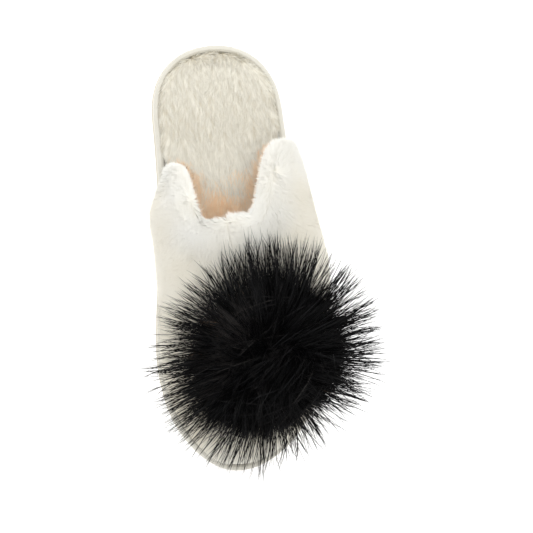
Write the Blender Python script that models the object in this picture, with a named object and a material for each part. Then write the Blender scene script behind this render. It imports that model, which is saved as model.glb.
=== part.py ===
"""Pom pom slipper for the left foot: a backless plush slipper with a deep U-shaped throat and a large fur ball.

Row frame, in metres: +Y runs from heel to toe, +X points to the medial side (the big toe), +Z is up. The origin lies
on the floor, under the middle of the sole's length. Pieces: outsole, midsole, edge_binding, insole, upper, pompom.
"""

import math
from collections import namedtuple

import bmesh
import bpy
import numpy as np

# Sole, seen from above
SOLE_LENGTH = 0.258
BALL_WIDTH = 0.1035
HEEL_ROUND = 0.042  # length over which the heel's edge turns in
HEEL_POWER = 2.2  # squareness of that turn, where 2 is an ellipse
TOE_ROUND = 0.080
TOE_POWER = 2.05

# Sole, seen from the side
OUTSOLE_THICKNESS = 0.0045
MIDSOLE_HEEL = 0.0115  # thickness of the wrapped foam under the heel
MIDSOLE_TOE = 0.0090
TOE_SPRING = 0.0045
TOE_SPRING_START = 0.76  # share of the length where the sole leaves the floor
HEEL_LIFT = 0.0018
HEEL_LIFT_LENGTH = 0.014
MIDSOLE_INSET = 0.0010  # the outsole's lip beyond the wrapped foam
SIDE_BELLY = 0.0006  # how far the wrapped foam's side swells
EDGE_ROUND = 0.0012

# Tread grooves under the outsole
GROOVE_WIDTH = 0.0026
GROOVE_DEPTH = 0.0014
GROOVE_PITCH = 0.0090
GROOVE_BAND = 0.0085  # plain band left round the edge
HEEL_TREAD = (0.075, 0.290)  # shares of the length
BALL_TREAD = (0.520, 0.880)

# Binding round the sole's top edge
BINDING_WIDTH = 0.0046
BINDING_HEIGHT = 0.0042

# Plush insole
INSOLE_EDGE = 0.0058  # height of its rounded side
INSOLE_CROWN = 0.0022  # rise of its middle over its edge
INSOLE_CUP = 0.0016  # dip at the middle of the heel
INSOLE_ROUND = 0.0020

# Plush upper
WALL = 0.0042  # cloth and pressed pile
INSTEP_HEIGHT = 0.0580  # crown of the vamp over the midsole, at the throat
TOE_BOX = 0.0480  # length over which the toe comes down
TOE_BOX_POWER = 2.2
SECTION_POWER = 2.25  # squareness of the arch across the foot
BELLY_LIFT = 0.75  # below 1, the sides swell most under half their height
CUFF_WIDTH = 0.0240
CUFF_FADE = 0.80  # share of that width over which the cuff's step dies away
CUFF_RISE = 0.0024  # outward step of the folded plush round the opening
CUFF_DEPTH = 0.0022  # inward step

# Fur ball
POMPOM_ALONG = 0.722  # place of its middle, as a share of the sole's length
POMPOM_SIDE = -0.0140  # towards the lateral side
POMPOM_SEAT = 0.0330  # middle of the ball over the vamp
POMPOM_RADIUS = 0.0400
POMPOM_SQUASH = 0.84
LOCK_SHORT = 0.0120
LOCK_LONG = 0.0270
LOCK_LEAN = 0.55  # how far a tip strays in its own face, from 0 to 1
LOCK_DROOP = 0.064  # fall of the ball's outer fur, for its distance squared over POMPOM_RADIUS
POMPOM_DETAIL = 4  # rounds of splitting the starting icosahedron
POMPOM_SEED = 7
POMPOM_CLEAR = 0.0008  # between the ball's locks and the vamp

GAP = 0.0003  # between pieces that meet
STAND = BINDING_HEIGHT + GAP  # the foot of the upper's wall, which goes straight up behind the binding
SIDE_STEPS = 38  # points along each side of the sole
FINE_STEPS = 240
VAMP_RINGS = 26
ARCH_STEPS = 32
ROLL_STEPS = 5

OutlineRow = namedtuple("OutlineRow", "along middle half")
OUTLINE = [  # middle line (plus is medial) and half width, as shares of BALL_WIDTH
    OutlineRow(0.000, -0.014, 0.380),
    OutlineRow(0.155, -0.024, 0.382),
    OutlineRow(0.260, -0.027, 0.390),
    OutlineRow(0.350, -0.029, 0.404),
    OutlineRow(0.450, -0.033, 0.431),
    OutlineRow(0.550, -0.036, 0.466),
    OutlineRow(0.650, -0.029, 0.493),
    OutlineRow(0.720, -0.020, 0.501),
    OutlineRow(0.800, -0.008, 0.503),
    OutlineRow(0.880, 0.007, 0.503),
    OutlineRow(0.940, 0.020, 0.490),
    OutlineRow(1.000, 0.048, 0.460),
]

VampRow = namedtuple("VampRow", "along crown ridge medial lateral")
VAMP = [  # crown as a share of INSTEP_HEIGHT; ridge line and the swell of each side as shares of BALL_WIDTH
    VampRow(0.200, 0.92, 0.018, -0.010, 0.025),
    VampRow(0.300, 0.97, 0.020, -0.004, 0.092),
    VampRow(0.335, 0.99, 0.020, 0.050, 0.115),
    VampRow(0.370, 1.00, 0.020, 0.098, 0.122),
    VampRow(0.440, 0.98, 0.020, 0.084, 0.128),
    VampRow(0.500, 0.93, 0.018, 0.064, 0.134),
    VampRow(0.600, 0.81, 0.010, 0.040, 0.098),
    VampRow(0.700, 0.69, 0.004, 0.026, 0.050),
    VampRow(0.800, 0.60, 0.006, 0.016, 0.018),
    VampRow(0.900, 0.54, 0.018, 0.008, 0.008),
    VampRow(1.000, 0.51, 0.048, 0.000, 0.000),
]

CollarRow = namedtuple("CollarRow", "angle medial lateral")
COLLAR = [  # degrees down the arch from its crown, and where the opening's edge is, in shares of the sole's length
    CollarRow(0, 0.428, 0.428),
    CollarRow(12, 0.428, 0.427),
    CollarRow(20, 0.425, 0.424),
    CollarRow(26, 0.412, 0.407),
    CollarRow(33, 0.367, 0.352),
    CollarRow(40, 0.328, 0.300),
    CollarRow(47, 0.304, 0.272),
    CollarRow(54, 0.294, 0.266),
    CollarRow(62, 0.290, 0.265),
    CollarRow(75, 0.290, 0.265),
    CollarRow(90, 0.290, 0.265),
]

Finish = namedtuple("Finish", "colour roughness")
RUBBER = Finish((0.80, 0.77, 0.70), 0.72)
WRAP = Finish((0.83, 0.80, 0.72), 0.80)
BINDING = Finish((0.85, 0.82, 0.74), 0.66)
INSOLE_PLUSH = Finish((0.84, 0.80, 0.71), 0.95)
UPPER_PLUSH = Finish((0.90, 0.88, 0.83), 0.95)
BLACK_FUR = Finish((0.010, 0.010, 0.011), 0.55)


def through(table, column, at, key="along"):
    """A smooth curve through one column of a table, read at key's values."""
    keys = np.array([getattr(row, key) for row in table], float)
    values = np.array([getattr(row, column) for row in table], float)
    slopes = np.gradient(values, keys)
    at = np.clip(np.asarray(at, float), keys[0], keys[-1])
    i = np.clip(np.searchsorted(keys, at) - 1, 0, len(keys) - 2)
    step = keys[i + 1] - keys[i]
    t = (at - keys[i]) / step
    rise = (2 * t**3 - 3 * t**2 + 1) * values[i] + (3 * t**2 - 2 * t**3) * values[i + 1]
    lean = (t**3 - 2 * t**2 + t) * slopes[i] + (t**3 - t**2) * slopes[i + 1]
    return rise + lean * step


def rounded(distance, length, power):
    """Share of the full size at a distance from an end that turns in over a length: 0 at the end, then 1."""
    left = np.clip(1 - np.asarray(distance, float) / length, 0, 1)
    return (1 - left**power) ** (1 / power)


def eased(share):
    """0 to 1 with soft ends."""
    share = np.clip(share, 0, 1)
    return share * share * (3 - 2 * share)


def along_of(y):
    """Share of the sole's length at y, from 0 at the heel to 1 at the toe."""
    return np.asarray(y, float) / SOLE_LENGTH + 0.5


def outline(inset=0.0, steps=SIDE_STEPS):
    """The sole's edge moved in by inset: a closed loop from the heel up the medial side and back down the lateral."""
    share = (1 - np.cos(np.linspace(0, math.pi, steps + 1))) / 2
    ends = rounded(share * SOLE_LENGTH, HEEL_ROUND, HEEL_POWER)
    ends = ends * rounded((1 - share) * SOLE_LENGTH, TOE_ROUND, TOE_POWER)
    middle = BALL_WIDTH * through(OUTLINE, "middle", share)
    half = BALL_WIDTH * through(OUTLINE, "half", share) * ends
    medial, lateral = middle + half, middle - half
    y = (share - 0.5) * SOLE_LENGTH
    loop = np.column_stack([np.r_[medial, lateral[-2:0:-1]], np.r_[y, y[-2:0:-1]]])
    tangent = np.roll(loop, -1, axis=0) - np.roll(loop, 1, axis=0)
    tangent /= np.linalg.norm(tangent, axis=1)[:, None]
    return loop + inset * np.column_stack([-tangent[:, 1], tangent[:, 0]])


def ground(y):
    """Underside of the sole: flat on the floor, with toe spring and a small lift at the back of the heel."""
    share = along_of(y)
    toe = np.clip((share - TOE_SPRING_START) / (1 - TOE_SPRING_START), 0, 1)
    heel = np.clip(1 - share * SOLE_LENGTH / HEEL_LIFT_LENGTH, 0, 1)
    return TOE_SPRING * toe**2 + HEEL_LIFT * heel**2


def outsole_top(y):
    return ground(y) + OUTSOLE_THICKNESS


def midsole_bottom(y):
    return outsole_top(y) + GAP


def midsole_top(y):
    return midsole_bottom(y) + MIDSOLE_HEEL + (MIDSOLE_TOE - MIDSOLE_HEEL) * eased(along_of(y))


def seat(y):
    """Where the binding, the insole and the upper stand on the midsole."""
    return midsole_top(y) + GAP


def raised(surface, by):
    return lambda y: surface(y) + by


def finished(name, mesh, finish):
    """An object for a mesh, in the slipper's collection, with its material."""
    material = bpy.data.materials.new(name)
    material.use_nodes = True
    shader = material.node_tree.nodes["Principled BSDF"]
    shader.inputs["Base Color"].default_value = (*finish.colour, 1)
    shader.inputs["Roughness"].default_value = finish.roughness
    shader.inputs["Metallic"].default_value = 0
    mesh.materials.append(material)
    piece = bpy.data.objects.new(name, mesh)
    bpy.data.collections["pom_pom_slipper"].objects.link(piece)
    return piece


def mesh_of(name, points, faces, sharp_degrees=40):
    mesh = bpy.data.meshes.new(name)
    mesh.from_pydata([tuple(p) for p in points], [], faces)
    work = bmesh.new()
    work.from_mesh(mesh)
    bmesh.ops.remove_doubles(work, verts=work.verts, dist=0.00001)
    bmesh.ops.recalc_face_normals(work, faces=work.faces)
    work.to_mesh(mesh)
    work.free()
    mesh.shade_smooth()
    mesh.set_sharp_from_angle(angle=math.radians(sharp_degrees))
    return mesh


def cap_faces(points, loop, columns, height):
    """Strips of faces across a loop of outline points. New inner points are added to points, at height(x, y, share)."""
    count = len(loop)
    half = count // 2
    rows = []
    for i in range(1, half):
        first, last = np.array(points[loop[i]]), np.array(points[loop[count - i]])
        row = [loop[i]]
        for k in range(1, columns):
            share = k / columns
            x, y = (first + (last - first) * share)[:2]
            row.append(len(points))
            points.append((x, y, height(x, y, share)))
        rows.append(row + [loop[count - i]])
    faces = [(loop[0], rows[0][k], rows[0][k + 1]) for k in range(columns)]
    faces += [(loop[half], rows[-1][k + 1], rows[-1][k]) for k in range(columns)]
    for a, b in zip(rows, rows[1:]):
        faces += [(a[k], b[k], b[k + 1], a[k + 1]) for k in range(columns)]
    return faces


def slab(name, levels, finish, columns=1, crown=None):
    """A solid lofted through (inset, height) levels of the outline, bottom first, closed by strips across."""
    points, loops = [], []
    for inset, height in levels:
        edge = outline(inset) if np.isscalar(inset) else inset
        loops.append(list(range(len(points), len(points) + len(edge))))
        points += [(x, y, float(height(y))) for x, y in edge]
    bottom, top = levels[0][1], levels[-1][1]
    faces = []
    for a, b in zip(loops, loops[1:]):
        count = len(a)
        faces += [(a[i], a[(i + 1) % count], b[(i + 1) % count], b[i]) for i in range(count)]
    faces += cap_faces(points, loops[0], 1, lambda x, y, share: float(bottom(y)))
    faces += cap_faces(
        points,
        loops[-1],
        columns,
        lambda x, y, share: float(top(y)) + (crown(x, y, share) if crown else 0),
    )
    return finished(name, mesh_of(name, points, faces), finish)


def groove_cutters():
    """One mesh of bars across the sole, for the tread's grooves, kept inside a plain band at the edge."""
    band = outline(GROOVE_BAND, FINE_STEPS)
    medial, lateral = band[: FINE_STEPS + 1], np.roll(band[::-1], 1, axis=0)[: FINE_STEPS + 1]
    work = bmesh.new()
    for start, end in (HEEL_TREAD, BALL_TREAD):
        length = (end - start) * SOLE_LENGTH
        for k in range(int(length / GROOVE_PITCH) + 1):
            y = (start - 0.5) * SOLE_LENGTH + k * GROOVE_PITCH
            right = float(np.interp(y, medial[:, 1], medial[:, 0]))
            left = float(np.interp(y, lateral[:, 1], lateral[:, 0]))
            bar = bmesh.ops.create_cube(work, size=1)["verts"]
            bmesh.ops.scale(work, vec=(right - left, GROOVE_WIDTH, 2 * GROOVE_DEPTH), verts=bar)
            bmesh.ops.translate(work, vec=((right + left) / 2, y, float(ground(y))), verts=bar)
    mesh = bpy.data.meshes.new("groove_bars")
    work.to_mesh(mesh)
    work.free()
    cutter = bpy.data.objects.new("groove_bars", mesh)
    cutter.hide_render = True
    cutter.display_type = "WIRE"
    bpy.data.collections["cutters"].objects.link(cutter)
    return cutter


def outsole():
    piece = slab(
        "outsole",
        [
            (EDGE_ROUND, ground),
            (0.0, raised(ground, EDGE_ROUND)),
            (0.0, raised(outsole_top, -EDGE_ROUND / 2)),
            (EDGE_ROUND / 2, outsole_top),
        ],
        RUBBER,
    )
    cut = piece.modifiers.new("tread", "BOOLEAN")
    cut.operation = "DIFFERENCE"
    cut.object = groove_cutters()
    return piece


def midsole():
    """Foam wrapped in cloth, with a softly swelling side."""
    side = MIDSOLE_INSET
    return slab(
        "midsole",
        [
            (side + EDGE_ROUND, midsole_bottom),
            (side, raised(midsole_bottom, EDGE_ROUND)),
            (side - SIDE_BELLY, lambda y: (midsole_bottom(y) + midsole_top(y)) / 2),
            (side, raised(midsole_top, -EDGE_ROUND)),
            (side + EDGE_ROUND, midsole_top),
        ],
        WRAP,
    )


def edge_binding():
    """A rounded strip that runs right round the sole's top edge, flat where it stands on the midsole."""
    middle = MIDSOLE_INSET + BINDING_WIDTH / 2
    section = [(middle + BINDING_WIDTH / 2, 0.0), (middle - BINDING_WIDTH / 2, 0.0)]
    for angle in (25, 55, 90, 125, 155):
        reach = BINDING_WIDTH / 2 * math.cos(math.radians(angle))
        rise = BINDING_HEIGHT * math.sin(math.radians(angle)) ** 0.8
        section.append((middle - reach, rise))
    points = []
    for inset, rise in section:
        points += [(x, y, float(seat(y)) + rise) for x, y in outline(inset)]
    count, sides = 2 * SIDE_STEPS, len(section)
    faces = []
    for s in range(sides):
        a, b = s * count, (s + 1) % sides * count
        faces += [(a + i, a + (i + 1) % count, b + (i + 1) % count, b + i) for i in range(count)]
    return finished("edge_binding", mesh_of("edge_binding", points, faces, 60), BINDING)


def binding_inner_edge():
    """Inset of whatever stands just inside the binding."""
    return MIDSOLE_INSET + BINDING_WIDTH + GAP


def insole_edge(extra):
    """The insole's outline: inside the binding at the heel, and inside the upper's wall from the flaps forward."""
    behind, ahead = outline(binding_inner_edge() + extra), outline(binding_inner_edge() + WALL + GAP + extra)
    flap_end = np.where(behind[:, 0] > 0, COLLAR[-1].medial, COLLAR[-1].lateral)
    roll = (WALL + CUFF_DEPTH) / SOLE_LENGTH
    share = eased((along_of(behind[:, 1]) - flap_end + 2 * roll) / roll)
    return behind + (ahead - behind) * share[:, None]


def insole():
    """Plush footbed, softly domed across the forefoot and dished under the heel."""

    def crown(x, y, share):
        across = 4 * share * (1 - share)
        heel = 1 - eased(along_of(y) / 0.34)
        ends = rounded((0.5 * SOLE_LENGTH - abs(y)), HEEL_ROUND, 2)
        return float(across * ends * (INSOLE_CROWN - (INSOLE_CROWN + INSOLE_CUP) * heel))

    levels = [
        (insole_edge(0.0), seat),
        (insole_edge(0.0), raised(seat, INSOLE_EDGE - INSOLE_ROUND)),
        (insole_edge(INSOLE_ROUND * 0.3), raised(seat, INSOLE_EDGE - INSOLE_ROUND * 0.3)),
        (insole_edge(INSOLE_ROUND), raised(seat, INSOLE_EDGE)),
    ]
    return slab("insole", levels, INSOLE_PLUSH, columns=8, crown=crown)


def feather(y, depth):
    """(medial x, lateral x) of the upper where it meets the sole, for its surface at a depth into the wall."""
    loop = outline(binding_inner_edge() + depth, FINE_STEPS)
    medial, lateral = loop[: FINE_STEPS + 1], np.roll(loop[::-1], 1, axis=0)[: FINE_STEPS + 1]
    return np.interp(y, medial[:, 1], medial[:, 0]), np.interp(y, lateral[:, 1], lateral[:, 0])


def upper_tip(depth):
    return SOLE_LENGTH / 2 - binding_inner_edge() - depth


def arch(y, depth):
    """What shapes the arch across the foot at y: ridge x, then half width, and swell, of each side, then height."""
    share = along_of(y)
    medial, lateral = feather(y, depth)
    left = upper_tip(depth) - y
    ridge = BALL_WIDTH * through(VAMP, "ridge", share)
    # The ridge line can't leave the foot of the wall, which closes at the toe.
    ridge = np.clip(ridge, lateral, medial)
    swells = [BALL_WIDTH * through(VAMP, side, share) * rounded(left, TOE_BOX, 2) for side in ("medial", "lateral")]
    height = INSTEP_HEIGHT * through(VAMP, "crown", share) - STAND - depth
    height = height * rounded(left, TOE_BOX, TOE_BOX_POWER)
    return ridge, (medial - ridge, ridge - lateral), swells, height


def upper_points(y, angle, depth):
    """Points of the upper's surface at y, angle degrees from the crown (minus is lateral), depth into the wall."""
    ridge, halves, swells, height = arch(y, depth)
    turn = np.radians(np.abs(angle))
    out = np.sin(turn) ** (2 / SECTION_POWER)
    up = np.clip(np.cos(turn), 0, 1) ** (2 / SECTION_POWER)
    bulge = np.sin(math.pi * up**BELLY_LIFT)
    medial = ridge + halves[0] * out + swells[0] * bulge
    lateral = ridge - halves[1] * out - swells[1] * bulge
    return np.stack([np.where(angle >= 0, medial, lateral), y, seat(y) + STAND + height * up], axis=-1)


def collar_y(angle):
    """Where the opening's edge is at an angle down the arch, on the side that the angle's sign tells."""
    sides = [through(COLLAR, side, np.abs(angle), "angle") for side in ("medial", "lateral")]
    return (np.where(angle >= 0, *sides) - 0.5) * SOLE_LENGTH


def ring_y(share, angle, depth):
    """y of a ring that is at the toe at share 0 and on the collar's line at share 1, denser at both ends."""
    spread = share - 0.15 * math.sin(2 * math.pi * share)
    tip = upper_tip(depth)
    return tip - (tip - collar_y(angle)) * spread


def cuff_share(points, edge):
    """1 on the opening's edge, falling softly to 0 at the cuff's far side."""
    far = np.linalg.norm(points[:, None, :] - edge[None, :, :], axis=2).min(axis=1)
    return eased((1 - far / CUFF_WIDTH) / CUFF_FADE)


def with_feet(row):
    """A row across the foot, with the foot of the wall added under each of its ends."""
    feet = [np.array([x, y, float(seat(y))]) for x, y in (row[0][:2], row[-1][:2])]
    return np.array([feet[0], *row, feet[1]])


def wall_surface(depth, cuff_step):
    """Rings of one side of the wall, toe first, with the cuff's step. Each ring runs from medial to lateral."""
    angle = np.linspace(90, -90, ARCH_STEPS + 1)
    edge = upper_points(collar_y(angle), angle, depth)
    rings = []
    for share in np.linspace(0, 1, VAMP_RINGS + 1):
        y = ring_y(share, angle, depth)
        step = cuff_step * cuff_share(upper_points(y, angle, depth), edge)
        # The foot of the wall keeps its place on the sole.
        step = step * np.clip(np.cos(np.radians(angle)), 0, 1) ** 0.5
        row = [upper_points(y[j], angle[j], depth + step[j]) for j in range(len(angle))]
        rings.append(with_feet(row))
    return rings


def collar_roll(outer, inner):
    """Rows that turn the opening's edge over, from the outer surface to the inner, as a half round."""
    outer, inner = outer[1:-1], inner[1:-1]
    middle, half = (outer + inner) / 2, (outer - inner) / 2
    along = np.gradient(middle, axis=0)
    over = np.cross(half, along)
    over *= (np.linalg.norm(half, axis=1) / np.linalg.norm(over, axis=1))[:, None]
    over *= np.where(over[len(over) // 2, 1] > 0, -1, 1)
    # At the foot the roll points straight back.
    over[0] = over[-1] = (0, -np.linalg.norm(half[0]), 0)
    turns = np.linspace(0, math.pi, ROLL_STEPS + 1)[1:-1]
    return [with_feet(middle + half * math.cos(turn) + over * math.sin(turn)) for turn in turns]


def upper():
    """The plush upper: one hollow shell, closed at the toe, open at the collar and underneath."""
    outer, inner = wall_surface(0.0, -CUFF_RISE), wall_surface(WALL, CUFF_DEPTH)
    rings = outer + collar_roll(outer[-1], inner[-1]) + inner[::-1]
    wide = len(rings[0])
    points = [tuple(p) for ring in rings for p in ring]
    faces = []
    for r in range(len(rings) - 1):
        a, b = r * wide, (r + 1) * wide
        faces += [(a + j, a + j + 1, b + j + 1, b + j) for j in range(wide - 1)]
    # The underside of the wall joins each outer ring's end to its inner one.
    for end in (0, wide - 1):
        for r in range((len(rings) - 1) // 2):
            a, b = r * wide + end, (len(rings) - 1 - r) * wide + end
            faces.append((a, a + wide, b - wide, b))
    return finished("upper", mesh_of("upper", points, faces, 60), UPPER_PLUSH)


def inside_upper(points, clearance):
    """True for each point that lies in the upper's full outer form, grown by clearance."""
    x, y, z = points.T
    ridge, halves, swells, height = arch(y, -clearance)
    up = np.clip((z - seat(y) - STAND) / np.maximum(height, 1e-6), 0, 1)
    swell = np.where(x >= ridge, *swells) * np.sin(math.pi * up**BELLY_LIFT)
    half = np.where(x >= ridge, *halves)
    out = np.clip(np.abs(x - ridge) - swell, 0, None) / np.maximum(half, 1e-6)
    within = (y < upper_tip(-clearance)) & (z < seat(y) + STAND + height)
    return within & (out**SECTION_POWER + up**SECTION_POWER < 1)


def pompom_middle():
    y = (POMPOM_ALONG - 0.5) * SOLE_LENGTH
    crown = upper_points(np.array(y), np.array(0.0), 0.0)
    return np.array([POMPOM_SIDE, y, crown[2] + POMPOM_SEAT])


def seated(points, faces, middle):
    """Draws points in towards the ball's middle until no face enters the upper."""
    shares = np.ones(len(points))
    corners = np.array(faces)
    weights = np.array([(a, b, 6 - a - b) for a in range(7) for b in range(7 - a)], float) / 6
    # First each point by itself, by halving, and then whole faces.
    low, high = np.zeros(len(points)), np.ones(len(points))
    free = ~inside_upper(points, POMPOM_CLEAR)
    for _ in range(24):
        half = (low + high) / 2
        hit = inside_upper(middle + (points - middle) * half[:, None], POMPOM_CLEAR)
        low, high = np.where(hit, low, half), np.where(hit, half, high)
    shares = np.where(free, 1.0, low)
    for _ in range(60):
        now = middle + (points - middle) * shares[:, None]
        samples = np.einsum("sk,fkd->fsd", weights, now[corners])
        inside = inside_upper(samples.reshape(-1, 3), POMPOM_CLEAR).reshape(len(corners), -1)
        if not inside.any():
            break
        shares[np.unique(corners[inside.any(axis=1)])] *= 0.992
    return middle + (points - middle) * shares[:, None]


def pompom():
    """Fur ball: a core with a lock of fur fused on each of its faces, seated on the vamp."""
    work = bmesh.new()
    bmesh.ops.create_icosphere(work, subdivisions=POMPOM_DETAIL, radius=1.0)
    core = np.array([v.co for v in work.verts])
    faces = [[v.index for v in face.verts] for face in work.faces]
    work.free()
    random = np.random.default_rng(POMPOM_SEED)
    size = POMPOM_RADIUS * random.uniform(0.96, 1.04, len(core))
    points = [direction * r for direction, r in zip(core, size)]
    spikes = []
    for a, b, c in faces:
        pull = random.dirichlet((1, 1, 1)) * LOCK_LEAN + (1 - LOCK_LEAN) / 3
        direction = core[a] * pull[0] + core[b] * pull[1] + core[c] * pull[2]
        direction /= np.linalg.norm(direction)
        length = LOCK_SHORT + (LOCK_LONG - LOCK_SHORT) * random.random() ** 1.3
        spikes += [(a, b, len(points)), (b, c, len(points)), (c, a, len(points))]
        points.append(direction * (POMPOM_RADIUS + length))
    points = np.array(points)
    points[:, 2] *= POMPOM_SQUASH
    points[:, 2] -= LOCK_DROOP * (points[:, 0] ** 2 + points[:, 1] ** 2) / POMPOM_RADIUS
    middle = pompom_middle()
    points = seated(middle + points, spikes, middle)
    return finished("pompom", mesh_of("pompom", points, spikes, 30), BLACK_FUR)


def cleared_scene():
    for old in list(bpy.data.objects):
        bpy.data.objects.remove(old)
    for name in ("pom_pom_slipper", "cutters"):
        group = bpy.data.collections.new(name)
        bpy.context.scene.collection.children.link(group)


def main():
    cleared_scene()
    outsole()
    midsole()
    edge_binding()
    insole()
    upper()
    pompom()


main()
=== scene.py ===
"""Looks of the pom pom slipper, left shoe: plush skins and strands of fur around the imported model.

All lengths are in metres, in the part's own frame: +Y to the toe, +X to the medial side, +Z up.
"""

import math

import bmesh
import bpy
import numpy as np
from mathutils import Matrix, Vector
from mathutils.bvhtree import BVHTree
from mathutils.kdtree import KDTree


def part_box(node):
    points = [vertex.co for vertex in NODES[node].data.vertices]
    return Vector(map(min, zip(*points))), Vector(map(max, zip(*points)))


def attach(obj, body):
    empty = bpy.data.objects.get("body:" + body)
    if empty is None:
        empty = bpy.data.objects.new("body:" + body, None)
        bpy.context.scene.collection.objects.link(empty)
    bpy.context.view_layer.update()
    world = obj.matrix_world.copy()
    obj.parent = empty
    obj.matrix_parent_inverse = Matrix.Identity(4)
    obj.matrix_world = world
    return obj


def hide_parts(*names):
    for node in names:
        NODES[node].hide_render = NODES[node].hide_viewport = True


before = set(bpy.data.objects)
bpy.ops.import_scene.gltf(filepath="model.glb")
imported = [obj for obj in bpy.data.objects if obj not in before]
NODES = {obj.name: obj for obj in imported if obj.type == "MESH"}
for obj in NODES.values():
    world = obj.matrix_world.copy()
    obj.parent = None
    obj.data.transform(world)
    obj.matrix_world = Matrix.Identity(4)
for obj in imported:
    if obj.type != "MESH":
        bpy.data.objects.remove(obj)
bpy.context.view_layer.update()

# Camera, as in the photograph: straight above, a little to the shoe's medial side
CAMERA_AT = (0.0474, -0.0166, 1.5)
CAMERA_AIM = (-0.0215, 0.0073, 0.03)
CAMERA_ROLL = 6.0  # degrees from the shoe's own axis
PHOTO_WIDTH = 533
METRES_PER_PIXEL = 0.0006042  # at the sole's edge
SOLE_EDGE_HEIGHT = 0.012
SENSOR = 0.036

# Fur ball: radii are measured before the ball is squashed and droops
BALL_MIDDLE = 0.0885  # its height over the floor
BALL_CORE = 0.034
BALL_ROOT = 0.030
BALL_TIP = 0.0455
GUARD_ROOT = 0.036
BALL_LIMIT = 0.0783  # farthest reach of a hair
BALL_SQUASH = 0.86
BALL_DROOP = 1.6  # metres down for a square metre out
BALL_CLEAR = 0.0035  # least height of hair over the shoe
BALL_LOWEST = 0.012  # least height of hair over the floor
WHORL = (-0.10, 0.15, 0)  # place on top, as a share of the radius
SWEEP = (0.90, 0.42, 0)  # way in which the hair over the whorl lies
COMBED = 0.34  # how flat the hair on top lies
LOCKS = 1050
STRANDS_PER_LOCK = 58
SPIKES = 3000
STRAYS = 150
LOCK_WIDTHS = (0.00034, 0.00028)
GUARD_WIDTHS = (0.00036, 0.00039, 0.00039, 0.00037)
STRAY_WIDTHS = (0.00032, 0.00032, 0.00032, 0.00028)

# Plush
UPPER_STRANDS = 370000
UPPER_LENGTH = 0.0046
CUFF_LONGER = 0.0016
TOE_SHORTER = 0.0018
CUFF_BAND = 0.030  # from the opening's edge
EDGE_SPOTS = 600
LINING_STRANDS = 40000
LINING_LENGTH = 0.0045
INSOLE_STRANDS = 150000
INSOLE_LENGTH = 0.0068
PILE_WIDTH = 0.00040
LINING_WIDTH = 0.00045
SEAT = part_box("upper")[0][2]  # height of the upper's lowest edge


def unit(v):
    """Vectors of length 1, the same way as v."""
    return v / np.maximum(np.linalg.norm(v, axis=-1, keepdims=True), 1e-9)


def eased(share):
    """A smooth step: 0 up to a share of 0 and 1 from a share of 1."""
    share = np.clip(share, 0, 1)
    return share * share * (3 - 2 * share)


def waves(points, scale, seed, terms=7):
    """A smooth field of about -1 to 1 over points, that varies over about scale metres."""
    random = np.random.default_rng(seed)
    total = np.zeros(len(points))
    for _ in range(terms):
        turn = unit(random.normal(size=3)) * random.uniform(0.7, 1.5) * 2 * math.pi / scale
        total += np.sin(points @ turn + random.uniform(0, 2 * math.pi))
    return total / math.sqrt(terms)


def fast_mesh(name, points, corners, sizes):
    """A smooth mesh from arrays: corners lists the faces' vertices, and sizes how many each has."""
    mesh = bpy.data.meshes.new(name)
    mesh.vertices.add(len(points))
    mesh.vertices.foreach_set("co", np.ascontiguousarray(points, np.float32).ravel())
    mesh.loops.add(len(corners))
    mesh.loops.foreach_set("vertex_index", np.ascontiguousarray(corners, np.int32))
    mesh.polygons.add(len(sizes))
    starts = np.concatenate([[0], np.cumsum(sizes)[:-1]]).astype(np.int32)
    mesh.polygons.foreach_set("loop_start", starts)
    mesh.polygons.foreach_set("use_smooth", np.ones(len(sizes), bool))
    mesh.update(calc_edges=True)
    return mesh


def placed(name, mesh, material):
    """A new object in the scene with one material."""
    piece = bpy.data.objects.new(name, mesh)
    bpy.context.scene.collection.objects.link(piece)
    mesh.materials.clear()
    mesh.materials.append(material)
    return piece


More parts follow.
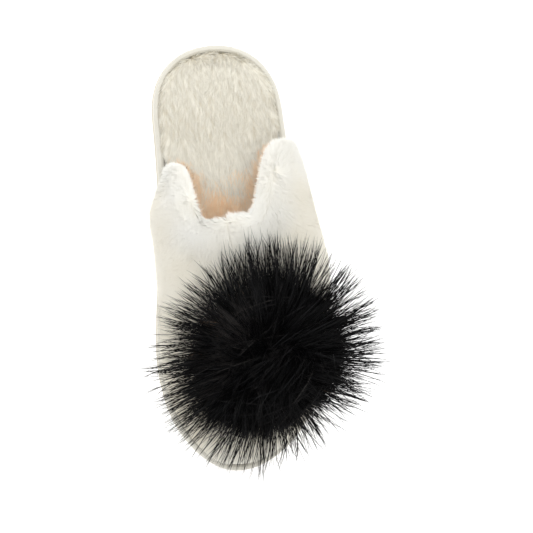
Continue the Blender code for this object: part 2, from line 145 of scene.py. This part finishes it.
def strands(name, lines, widths, tint, material, seed, facing=None, soft=0.0):
    """A piece of flat, tapering strands along centre lines of shape (count, points, 3).

    widths holds a width for each point but the tip, and tint a number from 0 to 1 for each strand,
    which the material reads as U. V runs from 0 at the root to 1 at the tip. With facing, which holds
    the normals of the surface they grow from, strands lie with their flat side to it, and are shaded
    like that surface as far as soft says: that is how fine pile looks.
    """
    count, rows = lines.shape[:2]
    random = np.random.default_rng(seed)
    along = lines[:, -1] - lines[:, 0]
    turn = random.normal(size=(count, 3))
    if facing is None:
        side = unit(np.cross(along, turn))
    else:
        side = unit(np.cross(along, turn * 0.5 + facing))
        side *= np.where(np.einsum("nd,nd->n", np.cross(side, along), facing) < 0, -1, 1)[:, None]
    half = side[:, None, :] * np.asarray(widths)[..., None] / 2
    pairs = np.stack([lines[:, :-1] - half, lines[:, :-1] + half], axis=2).reshape(count, -1, 3)
    points = np.concatenate([pairs, lines[:, -1:]], axis=1)
    each = points.shape[1]
    one, spots = [], []
    for j in range(rows - 2):
        one += [2 * j, 2 * j + 1, 2 * j + 3, 2 * j + 2]
        spots += [(0, j), (1, j), (1, j + 1), (0, j + 1)]
    one += [2 * rows - 4, 2 * rows - 3, 2 * rows - 2]
    spots += [(0, rows - 2), (1, rows - 2), (0.5, rows - 1)]
    corners = (np.arange(count)[:, None] * each + np.array(one)[None]).ravel()
    sizes = np.tile([4] * (rows - 2) + [3], count)
    mesh = fast_mesh(name, points.reshape(-1, 3), corners, sizes)
    spots = np.array(spots, float)
    u = np.clip(tint, 0.01, 0.99)[:, None] + (spots[None, :, 0] - 0.5) * 0.006
    v = np.broadcast_to(0.02 + 0.96 * spots[None, :, 1] / (rows - 1), u.shape)
    uv = np.stack([u, v], axis=-1).astype(np.float32).ravel()
    for layer in ("Strand", "OFBake"):
        mesh.uv_layers.new(name=layer).uv.foreach_set("vector", uv)
    if facing is not None:
        shading = unit(unit(np.cross(side, along)) * (1 - soft) + facing * soft)
        mesh.normals_split_custom_set_from_vertices(np.repeat(shading, each, axis=0))
    return placed(name, mesh, material)


def mesh_arrays(obj):
    """Vertices and triangles of an object's mesh."""
    mesh = obj.data
    mesh.calc_loop_triangles()
    points = np.empty(len(mesh.vertices) * 3, np.float32)
    mesh.vertices.foreach_get("co", points)
    corners = np.empty(len(mesh.loop_triangles) * 3, np.int32)
    mesh.loop_triangles.foreach_get("vertices", corners)
    return points.reshape(-1, 3).astype(float), corners.reshape(-1, 3)


def scattered(obj, count, random, keep=None):
    """Points spread evenly over an object's triangles, with their smooth normals."""
    points, corners = mesh_arrays(obj)
    keys, first = np.unique(np.round(points, 6), axis=0, return_inverse=True)
    corners = first.ravel()[corners]
    a, b, c = (keys[corners[:, k]] for k in range(3))
    cross = np.cross(b - a, c - a)
    area = np.linalg.norm(cross, axis=1) / 2
    normals = np.zeros_like(keys)
    for k in range(3):
        np.add.at(normals, corners[:, k], cross)
    normals = unit(normals)
    if keep is not None:
        area = area * keep((a + b + c) / 3, unit(cross))
    pick = random.choice(len(area), count, p=area / area.sum())
    r1, r2 = np.sqrt(random.random(count)), random.random(count)
    w = np.stack([1 - r1, r1 * (1 - r2), r1 * r2], axis=1)
    at = np.einsum("nk,nkd->nd", w, keys[corners[pick]])
    normal = unit(np.einsum("nk,nkd->nd", w, normals[corners[pick]]))
    return at, normal


def applied(piece, kind, **settings):
    """Give a piece the mesh that a modifier makes of it."""
    modifier = piece.modifiers.new(kind.lower(), kind)
    for key, value in settings.items():
        setattr(modifier, key, value)
    graph = bpy.context.evaluated_depsgraph_get()
    mesh = bpy.data.meshes.new_from_object(piece.evaluated_get(graph))
    piece.modifiers.clear()
    piece.data = mesh


class Nodes:
    """A material and its node tree, built in short."""

    def __init__(self, name, roughness, **settings):
        self.material = bpy.data.materials.new(name)
        self.material.use_nodes = True
        self.tree = self.material.node_tree
        self.shader = self.tree.nodes["Principled BSDF"]
        self.shader.inputs["Roughness"].default_value = roughness
        for key, value in settings.items():
            self.shader.inputs[key.replace("_", " ")].default_value = value

    def add(self, kind, inputs=None, **settings):
        node = self.tree.nodes.new(kind)
        for key, value in settings.items():
            setattr(node, key, value)
        for key, value in (inputs or {}).items():
            if isinstance(value, bpy.types.NodeSocket):
                self.tree.links.new(value, node.inputs[key])
            else:
                node.inputs[key].default_value = value
        return node

    def ramp(self, factor, stops):
        node = self.add("ShaderNodeValToRGB", {"Fac": factor})
        elements = node.color_ramp.elements
        while len(elements) < len(stops):
            elements.new(0.5)
        for element, (place, colour) in zip(elements, stops):
            element.position = place
            element.color = (*colour, 1)
        return node.outputs["Color"]

    def mix(self, kind, factor, a, b):
        node = self.add("ShaderNodeMix", data_type="RGBA", blend_type=kind)
        for socket, value in ((node.inputs[0], factor), (node.inputs[6], a), (node.inputs[7], b)):
            if isinstance(value, bpy.types.NodeSocket):
                self.tree.links.new(value, socket)
            elif socket.type == "RGBA":
                socket.default_value = (*value, 1)
            else:
                socket.default_value = value
        return node.outputs[2]

    def noise(self, scale, detail):
        place = self.add("ShaderNodeTexCoord").outputs["Object"]
        inputs = {"Vector": place, "Scale": scale, "Detail": detail, "Roughness": 0.55}
        return self.add("ShaderNodeTexNoise", inputs).outputs["Fac"]

    def bump(self, height, distance, strength=1.0):
        inputs = {"Height": height, "Distance": distance, "Strength": strength}
        node = self.add("ShaderNodeBump", inputs)
        self.tree.links.new(node.outputs["Normal"], self.shader.inputs["Normal"])

    def colour(self, socket):
        self.tree.links.new(socket, self.shader.inputs["Base Color"])
        return self.material


def fur(name, tints, root, roughness, **settings):
    """A strand material: tints runs over U, and root darkens the strand near V = 0."""
    nodes = Nodes(name, roughness, **settings)
    uv = nodes.add("ShaderNodeUVMap", uv_map="Strand").outputs["UV"]
    split = nodes.add("ShaderNodeSeparateXYZ", {"Vector": uv})
    tint = nodes.ramp(split.outputs["X"], tints)
    shade = nodes.ramp(split.outputs["Y"], root)
    return nodes.colour(nodes.mix("MULTIPLY", 1.0, tint, shade))


def plush(name, colour, shade, scale):
    """Pressed pile under the strands."""
    nodes = Nodes(name, 0.95, Sheen_Weight=0.2)
    tone = nodes.ramp(nodes.noise(scale, 4), [(0.35, shade), (0.65, colour)])
    nodes.bump(nodes.noise(900, 3), 0.0004)
    return nodes.colour(tone)


def cloth(name, colour, shade):
    """Smooth woven tape or wrap."""
    nodes = Nodes(name, 0.62, Sheen_Weight=0.15)
    tone = nodes.ramp(nodes.noise(60, 3), [(0.3, shade), (0.7, colour)])
    nodes.bump(nodes.noise(2200, 2), 0.00008, 0.6)
    return nodes.colour(tone)


def rubber(name, colour, shade):
    """Matt moulded rubber with a fine grain."""
    nodes = Nodes(name, 0.6)
    tone = nodes.ramp(nodes.noise(40, 4), [(0.3, shade), (0.7, colour)])
    nodes.bump(nodes.noise(1500, 2), 0.0001, 0.5)
    return nodes.colour(tone)


def skin(node, name, material, relief, scale, seed):
    """A finer copy of a CAD node with the soft relief of pressed pile, in the node's place."""
    piece = placed(name, NODES[node].data.copy(), material)
    piece.data.name = name
    applied(piece, "WELD", merge_threshold=0.00002)
    applied(piece, "SUBSURF", levels=1, render_levels=1)
    mesh = piece.data
    points, _ = mesh_arrays(piece)
    normals = np.array([v.normal for v in mesh.vertices])
    low = points[:, 2] < SEAT + 0.002
    push = relief * (waves(points, scale, seed) - 1.2) * ~low
    points += normals * push[:, None] * 0.5
    mesh.vertices.foreach_set("co", points.astype(np.float32).ravel())
    mesh.shade_smooth()
    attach(piece, "root")
    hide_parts(node)


def side_of(at, normal):
    """1 on the upper's outer face, -1 on its lining and about 0 on the rolled edge."""
    axis = np.stack([np.zeros(len(at)), at[:, 1], np.full(len(at), 0.030)], axis=1)
    return np.einsum("nd,nd->n", unit(at - axis), normal)


def tufts(at, ends, strands_each, pull, random):
    """Ends drawn together in tufts: each towards the end of the nearest of some leading strands."""
    leaders = random.choice(len(at), max(1, len(at) // strands_each), replace=False)
    tree = KDTree(len(leaders))
    for k, leader in enumerate(leaders):
        tree.insert(at[leader], k)
    tree.balance()
    mine = leaders[np.array([tree.find(spot)[1] for spot in at])]
    share = pull * random.uniform(0.5, 1.3, len(at))
    return ends + (ends[mine] - ends) * np.clip(share, 0, 1)[:, None]


def grown(at, normal, length, lean, lift, spread, random, tuft=0, pull=0):
    """Straight lines of a pile, rooted at points: they lean along a direction and may form tufts."""
    count = len(at)
    way = unit(lean - normal * np.einsum("nd,nd->n", lean, normal)[:, None])
    tip = normal * lift[:, None] + way * np.sqrt(1 - lift**2)[:, None]
    tip = unit(tip + random.normal(size=(count, 3)) * spread)
    ends = at + tip * length[:, None]
    if tuft:
        ends = tufts(at, ends, tuft, pull, random)
    return np.stack([at, ends], axis=1)


def rolled_edge(at, side, normal):
    """A few of the roots on the rolled edge of the opening, the flaps' inner edges among them."""
    roll = (np.abs(side) < 0.35) & (normal[:, 2] > 0) & (at[:, 2] > SEAT + 0.010)
    return at[roll][:: max(1, roll.sum() // EDGE_SPOTS)]


def far_from(at, spots):
    """Distance from each point to the nearest of some spots, worked out in parts to save memory."""
    far = np.full(len(at), 1.0)
    for start in range(0, len(at), 20000):
        mine = slice(start, start + 20000)
        far[mine] = np.sqrt(((at[mine, None] - spots[None]) ** 2).sum(-1)).min(1)
    return far


def upper_pile():
    random = np.random.default_rng(11)

    def outside(middle, normal):
        foot = (normal[:, 2] < -0.6) & (middle[:, 2] < SEAT + 0.004)
        return (side_of(middle, normal) > -0.25) & ~foot

    at, normal = scattered(NODES["upper"], UPPER_STRANDS, random, outside)
    side = side_of(at, normal)
    cuff = eased(1 - far_from(at, rolled_edge(at, side, normal)) / CUFF_BAND)
    count = len(at)
    down = np.stack([np.sign(at[:, 0]) * 0.3, np.full(count, 0.5), np.full(count, -1.0)], axis=1)
    swirl = np.stack([waves(at, 0.05, s) for s in (1, 2, 3)], axis=1)
    lift = np.clip(0.42 + 0.04 * cuff + random.normal(size=count) * 0.08, 0.2, 0.7)
    low = np.clip((at[:, 2] - SEAT) / 0.010, 0.35, 1)
    turned = np.clip((side + 0.10) / 0.65, 0.35, 1)
    length = UPPER_LENGTH + CUFF_LONGER * cuff - TOE_SHORTER * eased((at[:, 1] - 0.05) / 0.05)
    length = length * random.uniform(0.7, 1.15, count) * low * turned
    # Tone: whitest near the opening's edge and beiger towards the toe, where the beige is painted shade
    # of the fur ball over the toe, with a slow random drift
    tone = 0.50 - 0.45 * cuff + 0.36 * eased((at[:, 1] - 0.005) / 0.085) + 0.07 * waves(at, 0.030, 5)
    tone = tone + random.normal(size=count) * 0.04
    lines = grown(at, normal, length, down + swirl * 0.6, lift, 0.15, random, 22, 0.22 - 0.18 * cuff)
    looks = fur(
        "white_plush",
        [(0.0, (0.875, 0.87, 0.83)), (0.5, (0.855, 0.825, 0.735)), (1.0, (0.70, 0.655, 0.55))],
        [(0.0, (0.95, 0.93, 0.89)), (0.45, (0.99, 0.985, 0.975)), (1.0, (1.0, 1.0, 1.0))],
        0.9,
    )
    near = at[:, 1] < np.median(at[:, 1])
    for name, mine, seed in (("cuff_pile", near, 21), ("vamp_pile", ~near, 22)):
        widths = np.full((mine.sum(), 1), PILE_WIDTH)
        piece = strands(name, lines[mine], widths, tone[mine], looks, seed, normal[mine], 0.85)
        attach(piece, "root")


def lining_pile():
    random = np.random.default_rng(12)

    def inside(middle, normal):
        visible = (middle[:, 1] < 0.03) & (middle[:, 2] > SEAT + 0.006)
        return (side_of(middle, normal) < -0.1) & visible

    at, normal = scattered(NODES["upper"], LINING_STRANDS, random, inside)
    count = len(at)
    lean = np.stack([np.zeros(count), np.full(count, -0.6), np.full(count, -0.6)], axis=1)
    length = LINING_LENGTH * random.uniform(0.7, 1.2, count)
    lines = grown(at, normal, length, lean, np.full(count, 0.6), 0.25, random)
    # Tan: painted warm shade of the upper's inside, seen through the opening
    tone = 0.6 + random.normal(size=count) * 0.15
    looks = fur(
        "lining_plush",
        [(0.0, (0.90, 0.80, 0.66)), (1.0, (0.88, 0.62, 0.40))],
        [(0.0, (0.8, 0.74, 0.66)), (1.0, (1, 1, 1))],
        0.9,
    )
    widths = np.full((count, 1), LINING_WIDTH)
    piece = strands("lining_pile", lines, widths, tone, looks, 23, normal, 0.7)
    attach(piece, "root")


def insole_pile():
    random = np.random.default_rng(13)

    def top(middle, normal):
        return (normal[:, 2] > 0.15) & (middle[:, 1] < 0.006)

    at, normal = scattered(NODES["insole"], INSOLE_STRANDS, random, top)
    count = len(at)
    wind = 0.26 * waves(at * (1, 0.7, 1), 0.022, 31) + 0.22 * waves(at * (1, 0.6, 1), 0.008, 32)
    lean = np.stack([np.sin(wind), np.cos(wind), np.zeros(count)], axis=1) + normal * (1.0, 1.0, 0)
    lift = np.clip(0.28 + random.normal(size=count) * 0.10, 0.08, 0.8)
    flat = eased((normal[:, 2] - 0.55) / 0.42)
    length = INSOLE_LENGTH * random.uniform(0.6, 1.2, count) * (0.90 + 0.10 * flat)
    lines = grown(at, normal, length, lean, lift, 0.07, random, 10, 0.18)

    # Painted warm shade in tan: strongest in the throat under the vamp, and paler in a band along the
    # opening's edge, under the flaps
    throat_shade = eased((at[:, 1] + 0.055 + 0.005 * waves(at, 0.02, 33)) / 0.028)
    upper_at, upper_normal = scattered(NODES["upper"], 60000, random)
    edge = rolled_edge(upper_at, side_of(upper_at, upper_normal), upper_normal)
    band = 0.0035 + 0.0055 * eased((at[:, 1] + 0.085) / 0.05) + 0.0012 * waves(at, 0.006, 36)
    flap_shade = eased(1.5 - far_from(at * (1, 1, 0), edge * (1, 1, 0)) / band)
    flap_shade = flap_shade * eased((at[:, 1] + 0.085) / 0.02)
    pale = flap_shade > throat_shade
    in_shade = random.random(count) < np.maximum(throat_shade, flap_shade)
    streaks = 0.5 * waves(at * (1, 0.20, 1), 0.0024, 34, 9)
    streaks = streaks + 0.9 * waves(at * (1, 0.22, 1), 0.0011, 35, 9)
    fore_light = eased((at[:, 1] + 0.085) / 0.03)
    # Darker where the insole turns down to its edge, a painted shade of the groove by the binding;
    # lighter towards the throat, a painted light against the cuffs' shade
    cream = 0.20 + 0.10 * streaks + random.normal(size=count) * 0.08 + 0.12 * (1 - flat) - 0.15 * fore_light
    cream -= 0.06 * eased((-0.09 - at[:, 1]) / 0.02)
    tan = np.where(pale, 0.70, 0.80) + 0.05 * streaks + random.normal(size=count) * 0.05
    tone = np.where(in_shade, np.clip(tan, 0.6, 1.0), np.clip(cream, 0.0, 0.42))
    looks = fur(
        "insole_plush",
        [
            (0.0, (0.90, 0.88, 0.795)),
            (0.20, (0.74, 0.72, 0.64)),
            (0.42, (0.67, 0.62, 0.50)),
            # Tan stops: the painted warm shade of the throat and of the band under the flaps
            (0.50, (0.92, 0.82, 0.68)),
            (0.75, (0.97, 0.75, 0.52)),
            (1.0, (0.98, 0.67, 0.40)),
        ],
        [(0.0, (0.92, 0.88, 0.80)), (0.4, (0.98, 0.96, 0.93)), (1.0, (1, 1, 1))],
        0.9,
    )
    widths = np.full((count, 1), PILE_WIDTH)
    piece = strands("insole_pile", lines, widths, tone, looks, 24, normal, 0.8)
    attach(piece, "root")


def surface_height():
    """A function that gives the height of the dressed shoe's top at x, y, or 0 beyond it."""
    step = 0.0025
    xs = np.arange(-0.085, 0.0851, step)
    ys = np.arange(-0.02, 0.1401, step)
    trees = [
        BVHTree.FromPolygons(*(list(map(tuple, part)) for part in mesh_arrays(NODES[name])))
        for name in ("upper", "edge_binding", "midsole")
    ]
    grid = np.zeros((len(xs), len(ys)))
    for i, x in enumerate(xs):
        for j, y in enumerate(ys):
            for tree in trees:
                hit = tree.ray_cast(Vector((x, y, 0.3)), Vector((0, 0, -1)))
                if hit[0] is not None:
                    grid[i, j] = max(grid[i, j], hit[0].z)

    def height(at):
        u = np.clip((at[..., 0] - xs[0]) / step, 0, len(xs) - 1.001)
        v = np.clip((at[..., 1] - ys[0]) / step, 0, len(ys) - 1.001)
        i, j = u.astype(int), v.astype(int)
        a, b = u - i, v - j
        return (
            grid[i, j] * (1 - a) * (1 - b)
            + grid[i + 1, j] * a * (1 - b)
            + grid[i, j + 1] * (1 - a) * b
            + grid[i + 1, j + 1] * a * b
        )

    return height


def on_sphere(count, random):
    """Directions spread evenly over a sphere, each a little off its place."""
    k = np.arange(count) + 0.5
    z = 1 - 2 * k / count
    turn = k * math.pi * (3 - math.sqrt(5))
    r = np.sqrt(1 - z * z)
    spots = np.stack([r * np.cos(turn), r * np.sin(turn), z], axis=1)
    return unit(spots + random.normal(size=spots.shape) * 0.03)


def fur_ball():
    random = np.random.default_rng(41)
    low, high = (np.array(c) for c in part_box("pompom"))
    centre = (low + high) / 2
    centre[2] = BALL_MIDDLE
    height = surface_height()

    def flow(d):
        """A smooth drift over the whole ball, which evens out."""
        drift = np.stack([waves(d, 2.2, s, 5) for s in (51, 52, 53)], axis=1)
        return drift - drift.mean(0)

    def skewed(d):
        """The ball is longer from the heel's lateral side to the toe's medial side."""
        return 1 + 0.085 * 2 * d[:, 0] * d[:, 1] - 0.05 * d[:, 1] ** 2 - 0.02 * d[:, 1]

    def combed(d):
        """Two pushes on the hair on top: away from the whorl, and all one way over the whorl itself."""
        out = (d - WHORL) * (1, 1, 0)
        top = eased((d[:, 2] - 0.1) / 0.6)
        far = eased(np.linalg.norm(out, axis=1) / 0.45)
        return unit(out) * (COMBED * far * top)[:, None], ((1 - far) * top)[:, None] * SWEEP

    def shaped(root_way, tip_way, root, tip, sag, rows):
        """Curved centre lines between two radii of the ball."""
        start = root_way * root[:, None]
        end = tip_way * tip[:, None]
        middle = unit(root_way * 0.65 + tip_way * 0.35) * (root + (tip - root) * 0.55)[:, None]
        t = np.linspace(0, 1, rows)[None, :, None]
        line = (1 - t) ** 2 * start[:, None] + 2 * t * (1 - t) * middle[:, None] + t**2 * end[:, None]
        line[..., 2] *= BALL_SQUASH
        line[..., 2] -= sag[:, None] * (line[..., 0] ** 2 + line[..., 1] ** 2)

        # No hair stands upright, so that none is seen end on from above
        lying = line[:, -1, :2] - line[:, 0, :2]
        rise = line[:, -1, 2] - line[:, 0, 2]
        push = np.maximum(1, 0.85 * rise / np.maximum(np.linalg.norm(lying, axis=1), 0.0001))
        line[..., :2] = line[:, :1, :2] + (line[..., :2] - line[:, :1, :2]) * push[:, None, None]
        line += centre

        # Hair lies on the shoe and not in it
        over = height(line) + BALL_CLEAR
        below = line[..., 2] < over
        line[..., 2] = np.where(below, over + 0.15 * np.abs(over - line[..., 2]), line[..., 2])
        line[..., 2] = np.maximum(line[..., 2], BALL_LOWEST)
        return line

    looks = fur(
        "black_fur",
        [
            (0.0, (0.0015, 0.0015, 0.0016)),
            (0.45, (0.003, 0.003, 0.0032)),
            (0.70, (0.012, 0.012, 0.013)),
            (0.86, (0.035, 0.032, 0.030)),
            (1.0, (0.16, 0.105, 0.065)),
        ],
        [(0.0, (0.3, 0.3, 0.3)), (0.5, (0.9, 0.9, 0.9)), (1.0, (1, 1, 1))],
        0.30,
        Specular_IOR_Level=0.06,
    )

    # Locks: strands whose roots spread and whose tips meet
    ways = on_sphere(LOCKS, random)
    ways = ways[ways[:, 2] > -0.8]
    uneven = 1 + 0.03 * waves(ways, 1.3, 54) + random.normal(size=len(ways)) * 0.085
    reach = BALL_TIP * skewed(ways) * uneven
    comb, over = combed(ways)
    pull = flow(ways) * 0.20 + comb + 0.5 * over + random.normal(size=ways.shape) * 0.03
    own = np.repeat(np.arange(len(ways)), STRANDS_PER_LOCK)
    count = len(own)
    root_way = unit(ways[own] - 0.6 * over[own] + random.normal(size=(count, 3)) * 0.070)
    tip_way = unit(ways[own] + pull[own] + random.normal(size=(count, 3)) * 0.030)
    tip = reach[own] * (1.07 - 0.30 * random.random(count) ** 1.2)
    sag = BALL_DROOP * random.uniform(0.7, 1.3, len(ways))[own]

    # Paler on the medial side as a painted highlight, a few strands paler still as painted glints, and
    # brown tips low at the heel
    medial = eased((0.1 + 0.9 * ways[:, 0] - 0.45 * ways[:, 1]) / 0.9)[own]
    tone = 0.28 + 0.15 * random.normal(size=count) + 0.12 * waves(ways, 0.6, 55)[own]
    tone = np.minimum(tone + 0.62 * medial - 0.14, 0.86)
    tone = np.where(random.random(count) < 0.08, random.uniform(0.6, 0.86, count), tone)
    brown = eased((-0.55 * ways[:, 1] + 0.45 * ways[:, 0] - 0.35 * ways[:, 2] - 0.30) / 0.4)[own]
    tone = np.where(random.random(count) < 0.15 * brown, random.uniform(0.86, 1.0, count), tone)
    tone = np.clip(tone, 0.02, 0.99)
    lines = shaped(root_way, tip_way, np.full(count, BALL_ROOT), tip, sag, 3)
    half = count // 2
    order = random.permutation(count)
    widths = np.array(LOCK_WIDTHS)[None] * random.uniform(0.8, 1.25, (count, 1))
    for name, mine, seed in (("ball_fur_a", order[:half], 61), ("ball_fur_b", order[half:], 62)):
        piece = strands(name, lines[mine], widths[mine], tone[mine], looks, seed)
        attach(piece, "root")

    # Long guard hairs, in thin spikes and on their own, that stand out beyond the locks
    spikes = unit(random.normal(size=(SPIKES, 3)) * (1, 1, 0.55))
    thin = 0.4 * eased((spikes[:, 1] - 0.2) / 0.5)
    spikes = spikes[(spikes[:, 2] > -0.65) & (random.random(len(spikes)) > thin)]
    hairs = np.where(random.random(len(spikes)) < 0.86, 1, random.integers(2, 7, len(spikes)))
    own = np.repeat(np.arange(len(spikes)), hairs)
    count = len(own)
    comb, over = combed(spikes)
    bend = flow(spikes) * 0.12 + 0.6 * comb + 0.5 * over + random.normal(size=spikes.shape) * 0.07
    ways = unit(spikes[own] - 0.6 * over[own] + random.normal(size=(count, 3)) * 0.035)
    tip_way = unit(spikes[own] + bend[own] + random.normal(size=(count, 3)) * 0.022)
    long = BALL_TIP * (1.12 + 0.68 * random.random(len(spikes)) ** 0.85)
    long = np.minimum(long * skewed(spikes), BALL_LIMIT)
    tip = long[own] * (1 - 0.10 * random.random(count))
    sag = BALL_DROOP * random.uniform(0.4, 1.2, len(spikes))[own]
    lines = shaped(ways, tip_way, np.full(count, GUARD_ROOT), tip, sag, 5)
    widths = np.array(GUARD_WIDTHS)[None] * random.uniform(0.7, 1.2, (count, 1))
    tone = np.clip(0.28 + 0.18 * random.normal(size=count), 0.02, 0.9)

    # A few stray hairs that cross the ball's top, paler as painted highlights
    start = unit(random.normal(size=(STRAYS, 3)) * (0.8, 0.8, 0.3) + (0, 0, 0.75))
    turn = random.normal(size=(STRAYS, 3)) * 0.25 + (0.6, 0.3, 0)
    stray = shaped(
        start,
        unit(start + turn),
        BALL_TIP * random.uniform(0.80, 0.95, STRAYS),
        BALL_TIP * random.uniform(0.92, 1.12, STRAYS),
        np.full(STRAYS, BALL_DROOP),
        5,
    )
    lines = np.concatenate([lines, stray])
    widths = np.concatenate([widths, np.tile(STRAY_WIDTHS, (STRAYS, 1))])
    tone = np.concatenate([tone, random.uniform(0.62, 0.87, STRAYS)])
    piece = strands("ball_guard_hair", lines, widths, tone, looks, 63)
    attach(piece, "root")

    # Knotted core
    work = bmesh.new()
    bmesh.ops.create_icosphere(work, subdivisions=5, radius=1.0)
    ways = np.array([v.co for v in work.verts])
    size = BALL_CORE * (1 + 0.05 * waves(ways, 0.35, 56))
    spots = ways * size[:, None] * (1, 1, BALL_SQUASH)
    spots[:, 2] -= BALL_DROOP * (spots[:, 0] ** 2 + spots[:, 1] ** 2)
    spots += centre
    spots[:, 2] = np.maximum(spots[:, 2], height(spots) + 0.0006)
    for vert, spot in zip(work.verts, spots):
        vert.co = spot
    mesh = bpy.data.meshes.new("ball_core")
    work.to_mesh(mesh)
    work.free()
    mesh.shade_smooth()
    nodes = Nodes("black_backing", 0.9, Specular_IOR_Level=0.03)
    tone = nodes.ramp(nodes.noise(300, 3), [(0.3, (0.003, 0.003, 0.003)), (0.7, (0.012, 0.011, 0.011))])
    nodes.bump(nodes.noise(900, 2), 0.0004)
    piece = placed("ball_core", mesh, nodes.colour(tone))
    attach(piece, "root")
    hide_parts("pompom")


def dress_sole():
    looks = {
        "edge_binding": cloth("binding_cloth", (0.56, 0.54, 0.475), (0.51, 0.49, 0.425)),
        "midsole": cloth("wrap_cloth", (0.62, 0.585, 0.49), (0.56, 0.52, 0.43)),
        "outsole": rubber("cream_rubber", (0.60, 0.56, 0.47), (0.54, 0.50, 0.41)),
    }
    for node, material in looks.items():
        for slot in NODES[node].material_slots:
            slot.material = material


def stage():
    mesh = bpy.data.meshes.new("floor")
    mesh.from_pydata([(-4, -4, 0), (4, -4, 0), (4, 4, 0), (-4, 4, 0)], [], [(0, 1, 2, 3)])
    nodes = Nodes("floor", 0.9)
    nodes.shader.inputs["Base Color"].default_value = (0.93, 0.93, 0.93, 1)
    nodes.shader.inputs["Emission Color"].default_value = (1, 1, 1, 1)
    nodes.shader.inputs["Emission Strength"].default_value = 0.30
    floor = placed("floor", mesh, nodes.material)


def light(name, at, aim, size, power):
    data = bpy.data.lights.new(name, "AREA")
    data.shape = "DISK"
    data.size = size
    data.energy = power
    lamp = bpy.data.objects.new(name, data)
    lamp.location = at
    lamp.rotation_euler = (Vector(aim) - Vector(at)).to_track_quat("-Z", "Y").to_euler()
    bpy.context.scene.collection.objects.link(lamp)


def studio():
    world = bpy.data.worlds.new("studio")
    world.use_nodes = True
    back = world.node_tree.nodes["Background"]
    back.inputs["Color"].default_value = (1.0, 1.0, 1.0, 1)
    back.inputs["Strength"].default_value = 0.84
    bpy.context.scene.world = world
    light("overhead", (-0.5, -0.6, 3.0), (0, 0, 0), 2.6, 66)
    light("key", (0.8, -0.7, 1.2), (0, 0, 0), 0.8, 5)
    bpy.context.scene.view_settings.view_transform = "Standard"


def camera():
    data = bpy.data.cameras.new("camera")
    data.sensor_width = SENSOR * 1000
    view = PHOTO_WIDTH * METRES_PER_PIXEL
    data.lens = 1000 * SENSOR * (CAMERA_AT[2] - SOLE_EDGE_HEIGHT) / view
    data.clip_start, data.clip_end = 0.01, 20
    camera = bpy.data.objects.new("camera", data)
    bpy.context.scene.collection.objects.link(camera)
    roll = math.radians(CAMERA_ROLL)
    up = Vector((-math.sin(roll), -math.cos(roll), 0))
    back = (Vector(CAMERA_AT) - Vector(CAMERA_AIM)).normalized()
    right = up.cross(back).normalized()
    up = back.cross(right)
    turn = Matrix((right, up, back)).transposed().to_4x4()
    camera.matrix_world = Matrix.Translation(CAMERA_AT) @ turn
    bpy.context.scene.camera = camera


camera()
studio()
stage()
dress_sole()
pressed = plush("pressed_plush", (0.93, 0.915, 0.87), (0.90, 0.87, 0.81), 160)
backing = plush("insole_backing", (0.86, 0.82, 0.73), (0.78, 0.73, 0.62), 200)
skin("upper", "upper_skin", pressed, 0.0004, 0.012, 71)
skin("insole", "insole_skin", backing, 0.0003, 0.010, 72)
upper_pile()
lining_pile()
insole_pile()
fur_ball()
